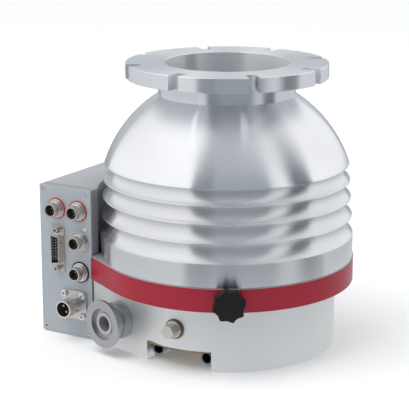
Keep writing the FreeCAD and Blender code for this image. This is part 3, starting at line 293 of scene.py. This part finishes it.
# The fore-vacuum port faces one way, and stands aside of the pump's own axis
FORE_FACING, FORE_OUT, FORE_ASIDE, FORE_UP = -105.0, 88.5, 34.0, 26.5
FORE_AXIS = level(FORE_FACING)
FORE_CENTRE = tuple((Vector(FORE_AXIS) * FORE_OUT - Vector(level(FORE_FACING + 90)) * FORE_ASIDE
                     + Vector(Z_AXIS) * FORE_UP) * MM)
VENT_FACING, VENT_OUT, VENT_UP = -58.8, 105.0, 63.7
VENT_AXIS = level(VENT_FACING)
VENT_CENTRE = tuple((Vector(VENT_AXIS) * VENT_OUT + Vector(Z_AXIS) * VENT_UP) * MM)

EVEN_700 = (700.0, 700.0, 700.0)
EVEN_500 = (500.0, 500.0, 500.0)

finishes = {
    "casing": casing_metal(),
    "base": turned_metal("satin_base", (0.735, 0.74, 0.745), (0.675, 0.68, 0.685), 0.46,
                         pitch=0.9 * MM, shine=0.75),
    "band": coated("red_band", (0.35, 0.013, 0.032), (0.32, 0.011, 0.027), 0.34, 700.0, 0.3),
    "seal_rubber": moulded("seal_rubber", (0.03, 0.03, 0.03), (0.02, 0.02, 0.02), 0.6),
    "screw_steel": milled_metal("zinc_screws", (0.86, 0.90, 0.94), (0.66, 0.70, 0.75), 0.38,
                                EVEN_700),
    "rotor_alloy": turned_metal("rotor_alloy", (0.70, 0.71, 0.73), (0.58, 0.59, 0.61), 0.32),
    "stator_alloy": milled_metal("stator_alloy", (0.72, 0.73, 0.75), (0.60, 0.61, 0.63), 0.36),
    "column_alloy": turned_metal("column_alloy", (0.70, 0.71, 0.73), (0.60, 0.61, 0.63), 0.38),
    "shaft_steel": turned_metal("ground_steel", (0.60, 0.61, 0.63), (0.50, 0.51, 0.53), 0.22,
                                pitch=0.3 * MM),
    "ball_ceramic": moulded("ball_ceramic", (0.05, 0.05, 0.055), (0.035, 0.035, 0.04), 0.15),
    "magnet": turned_metal("magnet_sleeve", (0.34, 0.34, 0.36), (0.25, 0.25, 0.27), 0.35),
    "core_steel": turned_metal("core_laminations", (0.42, 0.43, 0.45), (0.22, 0.23, 0.25), 0.45),
    "coil_copper": tarnished("coil_copper", (0.70, 0.30, 0.12), (0.42, 0.16, 0.07), 0.35, 500.0),
    "port_steel": turned_metal("turned_port", (0.50, 0.505, 0.52), (0.36, 0.365, 0.38), 0.33,
                               FORE_CENTRE, FORE_AXIS, 0.6 * MM, 0.03 * MM, bore=10.0 * MM),
    "plug_nickel": milled_metal("nickel_plug", (0.66, 0.64, 0.61), (0.50, 0.48, 0.45), 0.36,
                                EVEN_500),
    "washer_copper": tarnished("copper_washer", (0.22, 0.165, 0.13), (0.13, 0.10, 0.08), 0.45,
                               300.0),
    "vent_steel": turned_metal("vent_steel", (0.68, 0.69, 0.72), (0.50, 0.51, 0.54), 0.25,
                               VENT_CENTRE, VENT_AXIS, 0.4 * MM),
    "vent_rubber": moulded("vent_rubber", (0.03, 0.03, 0.03), (0.02, 0.02, 0.02), 0.6),
    "knob_black": moulded("knob_plastic", (0.018, 0.016, 0.018), (0.010, 0.009, 0.010), 0.48,
                          1400.0, 0.06 * MM, 0.12),
    "plate_brass": tarnished("brass_plate", (0.34, 0.25, 0.14), (0.16, 0.11, 0.06), 0.45, 60.0),
    "socket_grey": turned_metal("socket_plating", (0.19, 0.215, 0.245), (0.13, 0.15, 0.17), 0.30,
                                pitch=0.6 * MM),
    "pipe_copper": tarnished("copper_pipe", (0.62, 0.30, 0.16), (0.34, 0.16, 0.09), 0.38, 90.0),
    "housing_grey": coated("housing_coat", (0.41, 0.415, 0.435), (0.38, 0.385, 0.405), 0.48),
    "panel_grey": coated("panel_enamel", (0.40, 0.435, 0.465), (0.375, 0.41, 0.44), 0.42, 900.0),
    "connector_nickel": threaded_metal("nickel_thread", (0.78, 0.74, 0.71), (0.52, 0.49, 0.47),
                                       0.24),
    "connector_black": moulded("socket_insert", (0.02, 0.02, 0.022), (0.012, 0.012, 0.013), 0.4),
    "ring_red": moulded("red_ring", (0.50, 0.05, 0.07), (0.42, 0.04, 0.055), 0.4),
    "pin_gold": tarnished("gold_contacts", (0.85, 0.62, 0.25), (0.62, 0.42, 0.15), 0.25, 400.0),
    "lens": moulded("clear_lens", (0.75, 0.82, 0.80), (0.68, 0.75, 0.72), 0.12),
    "board_green": coated("board_laminate", (0.02, 0.14, 0.06), (0.015, 0.10, 0.045), 0.35),
    "feedthrough_steel": turned_metal("feedthrough_steel", (0.52, 0.53, 0.55),
                                      (0.42, 0.43, 0.45), 0.33, axis=(1.0, 0.0, 0.0)),
}
frame_coat = coated("frame_coat", (0.32, 0.305, 0.325), (0.29, 0.277, 0.297), 0.50)


# Pieces
def finished(name, mesh, body, slot, sharp=SHARP_EDGE, stands_for=()):
    """Places a mesh as a piece that rides on a body, smooth except at its edges."""
    piece = bpy.data.objects.new(name, mesh)
    bpy.context.scene.collection.objects.link(piece)
    mesh.materials.clear()
    mesh.materials.append(finishes[slot])
    for face in mesh.polygons:
        face.use_smooth = True
    mesh.set_sharp_from_angle(angle=math.radians(sharp))
    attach(piece, body)
    if stands_for:
        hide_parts(*stands_for)
    return piece


def aim_normals(mesh, limit):
    """Points the normals of walls round the pump's axis straight away from it.

    A wall counts if it leans less than the limit, in degrees. Other faces stay flat.
    """
    upright = math.cos(math.radians(limit))
    aimed = []
    for face in mesh.polygons:
        out = Vector((face.center.x, face.center.y, 0.0)).normalized()
        lean = face.normal.dot(out)
        for corner in face.loop_indices:
            spot = mesh.vertices[mesh.loops[corner].vertex_index].co
            away = Vector((spot.x, spot.y, 0.0)).normalized()
            if abs(lean) > upright:
                aimed.append(away if lean > 0 else -away)
            else:
                aimed.append(face.normal.copy())
    mesh.normals_split_custom_set(aimed)


def smoothed(node, name, edge=0.0, round_about=0.0):
    """A merged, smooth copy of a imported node, that stands for it.

    Its sharp edges are broken by a width, or its round walls get true round normals.
    """
    mesh = nodes[node].data.copy()
    shape = bmesh.new()
    shape.from_mesh(mesh)
    bmesh.ops.remove_doubles(shape, verts=shape.verts, dist=0.002 * MM)
    bmesh.ops.dissolve_limit(shape, angle_limit=math.radians(0.5), verts=shape.verts,
                             edges=shape.edges)
    broken = shape.edges.layers.float.new("bevel_weight_edge")
    for line in shape.edges:
        if line.is_manifold and line.calc_face_angle(0.0) > math.radians(SHARP_EDGE):
            line[broken] = 1.0
    shape.to_mesh(mesh)
    shape.free()
    piece = finished(name, mesh, body_of_node[node], slot_of_node[node], stands_for=(node,))
    if round_about:
        aim_normals(mesh, round_about)
    elif edge:
        rim = piece.modifiers.new("broken_edges", "BEVEL")
        rim.width = edge
        rim.segments = 2
        rim.limit_method = "WEIGHT"
        rim.harden_normals = True
    return piece


def round_points(radius, centre_z, start, end, steps):
    """Points on an arc round a centre on the axis, between two angles, both ends included."""
    return [(radius * math.cos(a), centre_z + radius * math.sin(a))
            for a in (start + (end - start) * i / steps for i in range(steps + 1))]


def hollow_points(start, end, hollow, steps):
    """Points after the start along an arc that falls inside the chord to the end."""
    chord = Vector((end[0] - start[0], end[1] - start[1]))
    half = chord.length / 2
    radius = (half * half + hollow * hollow) / (2 * hollow)
    outwards = Vector((-chord.y, chord.x)).normalized()
    middle = Vector(start) + chord / 2 + outwards * (radius - hollow)
    first = Vector(start) - middle
    turn = first.angle_signed(Vector(end) - middle)
    out = []
    for i in range(1, steps + 1):
        a = -turn * i / steps
        out.append((middle.x + first.x * math.cos(a) - first.y * math.sin(a),
                    middle.y + first.x * math.sin(a) + first.y * math.cos(a)))
    return out


def eased(points, corners, radius):
    """Profile points with the named corners rounded."""
    out = []
    for i, point in enumerate(points):
        if i not in corners:
            out.append(point)
            continue
        here, before, after = Vector(point), Vector(points[i - 1]), Vector(points[i + 1])
        into, away = (before - here).normalized(), (after - here).normalized()
        for t in (0.0, 0.25, 0.5, 0.75, 1.0):
            out.append(tuple(here + into * radius * (1 - t) ** 2 + away * radius * t ** 2))
    return out


def casing_points():
    """The casing's closed profile: outside from the inlet down, then back inside.

    Four thin ridges stand below the dome, with a hollow cove above each of them.
    """
    rim_r, rim_thick, neck_r, edge = 82.5, 12.0, 56.0, 0.5
    sphere_r, sphere_z, wall = 106.0, 117.4, 8.0
    foot_r, bore_r, shroud_r, chamfer = 104.6, 86.0, 80.5, 0.6
    ridge_count, first_drop, more_drop, land = 4, 13.7, 0.7, 0.9
    root_in, root_down, hollow, corner_ease = 5.4, 0.4, 2.3, 0.42
    dome_steps, cove_steps, inner_steps = 30, 14, 12
    low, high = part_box("casing")
    foot_z, top = low.z / MM, high.z / MM
    rim_bottom = top - rim_thick
    stack_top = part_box("spacer_rings")[1].z / MM
    points = [(INLET_R, top - edge), (INLET_R + edge, top), (rim_r - edge, top),
              (rim_r, top - edge), (rim_r, rim_bottom + edge), (rim_r - edge, rim_bottom),
              (neck_r, rim_bottom)]
    points += round_points(sphere_r, sphere_z, math.acos(neck_r / sphere_r),
                           math.asin((DOME_EDGE - sphere_z) / sphere_r), dome_steps)
    corners = [len(points) - 1]
    r, z = points[-1]
    spread = (foot_r - r) / ridge_count
    for i in range(ridge_count):
        root = (r - root_in, z - root_down)
        r, z = r + spread, z - first_drop - more_drop * i
        points.append(root)
        points += hollow_points(root, (r, z + land), hollow, cove_steps)
        if i < ridge_count - 1:
            corners += [len(points) - 1, len(points)]
            points.append((r, z))
    points += [(foot_r, foot_z + chamfer), (foot_r - chamfer, foot_z), (bore_r, foot_z),
               (bore_r, stack_top), (shroud_r, stack_top)]
    inner_r = sphere_r - wall
    points += round_points(inner_r, sphere_z, math.acos(shroud_r / inner_r),
                           math.acos(INLET_R / inner_r), inner_steps)
    return [(r * MM, z * MM) for r, z in eased(points, corners, corner_ease)]


def lathe(points, steps):
    """Mesh of a closed profile of (radius, height), turned round Z."""
    shape = bmesh.new()
    ring = [shape.verts.new((r, 0.0, z)) for r, z in points]
    lines = [shape.edges.new((a, b)) for a, b in zip(ring, ring[1:] + ring[:1])]
    bmesh.ops.spin(shape, geom=ring + lines, cent=ORIGIN, axis=Z_AXIS, angle=2 * math.pi,
                   steps=steps, use_merge=True)
    bmesh.ops.recalc_face_normals(shape, faces=shape.faces)
    return shape


def slot_cutters():
    """The flange's round-ended slots, open outwards, as one mesh."""
    count, arc_steps = 8, 16
    circle, half, low, high, out = 72.5 * MM, 4.5 * MM, 215 * MM, 240 * MM, 90 * MM
    shape = bmesh.new()
    outline = [(out, -half), (out, half)]
    outline += [(circle + half * math.cos(a), half * math.sin(a))
                for a in (math.pi / 2 + math.pi * i / arc_steps for i in range(arc_steps + 1))]
    face = shape.faces.new([shape.verts.new((x, y, low)) for x, y in outline])
    raised = bmesh.ops.extrude_face_region(shape, geom=[face])["geom"]
    bmesh.ops.translate(shape, vec=(0, 0, high - low),
                        verts=[v for v in raised if isinstance(v, bmesh.types.BMVert)])
    first = list(shape.verts) + list(shape.edges) + list(shape.faces)
    for i in range(1, count):
        made = bmesh.ops.duplicate(shape, geom=first)["geom"]
        bmesh.ops.rotate(shape, cent=ORIGIN, matrix=Matrix.Rotation(2 * math.pi * i / count, 3, "Z"),
                         verts=[v for v in made if isinstance(v, bmesh.types.BMVert)])
    bmesh.ops.recalc_face_normals(shape, faces=shape.faces)
    return shape


def mesh_from(name, shape):
    """Turns a bmesh into a mesh."""
    mesh = bpy.data.meshes.new(name)
    shape.to_mesh(mesh)
    shape.free()
    return mesh


def loose_object(name, shape):
    """Turns a bmesh into an object of its own in the scene."""
    thing = bpy.data.objects.new(name, mesh_from(name, shape))
    bpy.context.scene.collection.objects.link(thing)
    return thing


def turned_casing():
    """The casing as one turned body with its flange slots milled out."""
    body = loose_object("casing_blank", lathe(casing_points(), 288))
    cutter = loose_object("slot_cutter", slot_cutters())
    cut = body.modifiers.new("slots", "BOOLEAN")
    cut.operation = "DIFFERENCE"
    cut.object = cutter
    cut.solver = "EXACT"
    whole = bpy.data.meshes.new_from_object(
        body.evaluated_get(bpy.context.evaluated_depsgraph_get()))
    for thing in (body, cutter):
        bpy.data.objects.remove(thing)
    whole.name = "casing_shell"
    finished("casing_shell", whole, "pump", "casing", 24.0, ("casing",))


for node, shown in nodes.items():
    shown.data.materials.clear()
    shown.data.materials.append(finishes[slot_of_node[node]])

turned_casing()
smoothed("base_housing", "base_shell", round_about=2.6)
smoothed("base_foot", "base_skirt", round_about=2.6)
smoothed("trim_band", "red_trim")
smoothed("fore_port", "fore_flange", 0.3 * MM)
smoothed("gas_plug", "hex_plug", 0.3 * MM)
smoothed("gas_plug_washer", "plug_washer", 0.3 * MM)
smoothed("vent_bush", "vent_collar", 0.3 * MM)
smoothed("vent_knob", "star_knob", 1.4 * MM)
smoothed("water_sockets", "water_ends", 0.4 * MM)
smoothed("cooling_plate", "brass_plate", 0.1 * MM)
smoothed("drive_housing", "drive_case", 0.5 * MM)
smoothed("drive_front_frame", "drive_frame", 0.4 * MM).data.materials[0] = frame_coat
smoothed("drive_front_panel", "drive_panel", 0.3 * MM)
smoothed("signal_socket_shells", "signal_shells", 0.25 * MM)
smoothed("signal_rings", "red_rings", 0.2 * MM)
smoothed("power_shell", "power_socket", 0.3 * MM)
smoothed("serial_shell", "serial_socket", 0.15 * MM)


# Small round details on the connector panel, in millimetres from its inner bottom corner
panel_low, panel_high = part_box("drive_front_panel")
panel_wide = (panel_high.x - panel_low.x) / MM
panel_tall = (panel_high.z - panel_low.z) / MM


def middle_on_panel(node):
    """Place (across, up) of a node's middle on the panel."""
    low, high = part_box(node)
    return ((panel_high.x - (low.x + high.x) / 2) / MM,
            ((low.z + high.z) / 2 - panel_low.z) / MM)


def round_stack(shape, across, up, rings, segments):
    """Adds a closed stack of rings along the panel's outward direction.

    Each ring is (radius, height out, depth of six lobes).
    """
    loops = []
    for radius, out, lobes in rings:
        loop = []
        for i in range(segments):
            a = 2 * math.pi * i / segments
            r = radius + lobes * math.cos(6 * a)
            loop.append(shape.verts.new((panel_high.x + (r * math.cos(a) - across) * MM,
                                         panel_low.y - out * MM,
                                         panel_low.z + (r * math.sin(a) + up) * MM)))
        loops.append(loop)
    shape.faces.new(loops[0])
    shape.faces.new(loops[-1])
    rims = [[shape.edges.get((a, b)) or shape.edges.new((a, b))
             for a, b in zip(loop, loop[1:] + loop[:1])] for loop in loops]
    for near, far in zip(rims, rims[1:]):
        bmesh.ops.bridge_loops(shape, edges=near + far)


def details(name, slot, rows, segments=24, stands_for=()):
    """One piece of small round details on the panel: rows of (across, up, rings)."""
    shape = bmesh.new()
    for across, up, rings in rows:
        round_stack(shape, across, up, rings, segments)
    bmesh.ops.recalc_face_normals(shape, faces=shape.faces)
    finished(name, mesh_from(name, shape), body_of_node["drive_front_panel"], slot,
             stands_for=stands_for)


# Panel and power connector screws, with lobed recesses
countersunk = ((1.4, -8.0, 0.0), (1.4, -1.3, 0.0), (2.0, -0.6, 0.0), (2.0, -0.15, 0.0),
               (1.85, 0.0, 0.0), (1.0, 0.0, 0.16), (0.95, -1.15, 0.16))
cheese_head = ((1.5, -4.0, 0.0), (1.5, 2.0, 0.0), (2.85, 2.0, 0.0), (2.85, 3.4, 0.0),
               (2.7, 3.75, 0.0), (2.2, 4.05, 0.0), (1.45, 4.15, 0.0), (1.25, 4.1, 0.2),
               (1.2, 2.5, 0.2))
corner_inset, power_half = 3.6, 9.0
power_across, power_up = middle_on_panel("power_shell")
screws = [(across, up, countersunk) for across in (corner_inset, panel_wide - corner_inset)
          for up in (corner_inset, panel_tall - corner_inset)]
screws += [(power_across + aside * power_half, power_up + above * power_half, cheese_head)
           for aside in (-1, 1) for above in (-1, 1)]
details("lobed_screws", "screw_steel", screws, stands_for=("panel_screws",))

# Round signal sockets: thin washers under three of them, and five contacts in each
washer = ((7.8, 0.9, 0.0), (8.0, 1.05, 0.0), (8.0, 1.35, 0.0), (7.8, 1.5, 0.0))
contact = ((0.62, 3.0, 0.0), (0.62, 4.9, 0.0), (0.5, 5.0, 0.0), (0.32, 5.0, 0.0), (0.30, 4.2, 0.0))
washer_sockets = [(34.4, 108.6), (12.7, 108.8), (11.5, 56.6)]
plain_socket = (11.3, 83.0)
contact_places = [(0.0, 0.0)]
contact_places += [(2.1 * math.cos(a), 2.1 * math.sin(a)) for a in (0.3 + 1.57 * i for i in range(4))]
details("socket_washers", "connector_nickel",
        [(across, up, washer) for across, up in washer_sockets], 48)
details("socket_contacts", "pin_gold",
        [(across + aside, up + above, contact) for across, up in washer_sockets + [plain_socket]
         for aside, above in contact_places], 12)

# Serial connector: three rows of contact collars
collar = ((0.72, 1.0, 0.0), (0.72, 1.75, 0.0), (0.62, 1.9, 0.0), (0.40, 1.9, 0.0), (0.38, 1.4, 0.0))
contact_pitch = 2.4
serial_across, serial_up = middle_on_panel("serial_shell")
details("serial_contacts", "connector_nickel",
        [(serial_across + aside, serial_up + contact_pitch * (i - (count - 1) / 2), collar)
         for aside, count in ((-2.1, 9), (0.1, 8), (2.3, 9)) for i in range(count)], 12)


# Floor, light and camera
# Each panel of the room is (azimuth, half width and softness in degrees, brightness it adds)
ROOM_BASE = 0.62
ROOM_TOP = 0.30
ROOM_PANELS = ((-148.0, 54.5, 0.8, 0.50), (-83.0, 9.0, 3.0, -0.12), (-52.0, 41.0, 3.0, -0.20),
               (-9.0, 9.0, 1.5, 0.38), (15.0, 10.0, 2.0, -0.42), (62.0, 36.0, 1.0, 0.46))
SHADE_TINT = (0.80, 0.90, 1.0)
FLOOR_SHARE = 0.42
FLOOR_BASE = 0.15
FLOOR_NEAR = 0.90


def room_glow(net, way):
    """Brightness of the studio in a level direction: pale and grey zones by compass angle."""
    flat = net.node("ShaderNodeVectorMath", {"operation": "MULTIPLY"},
                    {0: way, 1: (1.0, 1.0, 0.0)})
    heading = net.node("ShaderNodeVectorMath", {"operation": "NORMALIZE"}, {0: flat})
    glow = ROOM_BASE
    for azimuth, half, soft, gain in ROOM_PANELS:
        facing = net.node("ShaderNodeVectorMath", {"operation": "DOT_PRODUCT"},
                          {0: heading, 1: level(azimuth)}, 1)
        outer, inner = math.cos(math.radians(half + soft)), math.cos(math.radians(half - soft))
        glow = glow + net.step(facing, outer, inner) * gain
    return glow


def lit(net, glow):
    """The studio's light at a brightness: its darker zones are a little bluer."""
    paleness = net.node("ShaderNodeMapRange", None,
                        {"Value": glow, "From Min": 0.25, "From Max": 1.0})
    tint = net.node("ShaderNodeMix", {"data_type": "RGBA"},
                    {0: paleness, 6: SHADE_TINT, 7: WHITE}, 2)
    return net.node("ShaderNodeVectorMath", {"operation": "SCALE"}, {0: tint, "Scale": glow})


def floor():
    """Pale floor: white to the camera with the pump's soft shadow, the studio to reflections."""
    half_size, near_start, near_end = 8.0, 0.42, 0.20
    shape = bmesh.new()
    bmesh.ops.create_grid(shape, x_segments=1, y_segments=1, size=half_size)
    sheet = loose_object("floor", shape)
    paper = Finish("white_paper")
    paper.shade(Base_Color=(0.90, 0.90, 0.90), Roughness=1.0, Specular_IOR_Level=0.0,
                Emission_Color=WHITE, Emission_Strength=0.10)
    near = paper.step(paper.axis_distance(ORIGIN, Z_AXIS), near_start, near_end)
    far_glow = room_glow(paper, paper.place()) * FLOOR_SHARE + FLOOR_BASE
    glow = far_glow + near * (FLOOR_NEAR - far_glow)
    mirror = paper.node("ShaderNodeEmission", None, {"Color": lit(paper, glow)})
    glossy = paper.node("ShaderNodeLightPath", output=3)
    mixed = paper.node("ShaderNodeMixShader", None,
                       {0: glossy, 1: Wire(paper, paper.shader.outputs[0]), 2: mirror})
    paper.feed(paper.tree.nodes["Material Output"].inputs["Surface"], mixed)
    sheet.data.materials.append(paper.material)


def studio():
    """World: white to the camera, the studio to everything else."""
    world = bpy.data.worlds.new("studio")
    bpy.context.scene.world = world
    world.use_nodes = True
    room = Net(world.node_tree)
    way = room.node("ShaderNodeTexCoord", output=0)
    rise = room.node("ShaderNodeSeparateXYZ", None, {0: way}, 2)
    glow = room_glow(room, way) + room.step(rise, 0.55, 0.85) * ROOM_TOP
    seen = room.node("ShaderNodeLightPath", output=0)
    background = world.node_tree.nodes["Background"]
    room.feed(background.inputs["Color"], lit(room, glow + seen * (1.0 - glow)))


def lamp(name, place, target, width, power):
    """Square area lamp aimed at a target, which shiny surfaces don't mirror."""
    light = bpy.data.lights.new(name, "AREA")
    light.shape = "SQUARE"
    light.size = width
    light.energy = power
    holder = bpy.data.objects.new(name, light)
    holder.location = place
    holder.rotation_euler = (Vector(target) - Vector(place)).to_track_quat("-Z", "Y").to_euler()
    holder.visible_glossy = False
    bpy.context.scene.collection.objects.link(holder)


def camera():
    """Camera at the photograph's place, in the part's frame."""
    azimuth, distance, height = -1.0456, 1.22084, 0.42789
    turn, tilt = 0.0150, 0.2518
    focal_pixels, frame_pixels, sensor = 1520.38, 409.0, 36.0
    lens = bpy.data.cameras.new("camera")
    lens.sensor_width = sensor
    lens.lens = focal_pixels / frame_pixels * sensor
    holder = bpy.data.objects.new("camera", lens)
    holder.location = (distance * math.cos(azimuth), distance * math.sin(azimuth), height)
    facing = azimuth + math.pi + turn
    ahead = Vector((math.cos(facing) * math.cos(tilt), math.sin(facing) * math.cos(tilt),
                    -math.sin(tilt)))
    holder.rotation_euler = ahead.to_track_quat("-Z", "Y").to_euler()
    bpy.context.scene.collection.objects.link(holder)
    bpy.context.scene.camera = holder


floor()
studio()
lamp("overhead", (-0.3, -0.6, 1.6), (0.0, 0.0, 0.1), 1.2, 9.0)
camera()
bpy.context.scene.view_settings.view_transform = "Standard"
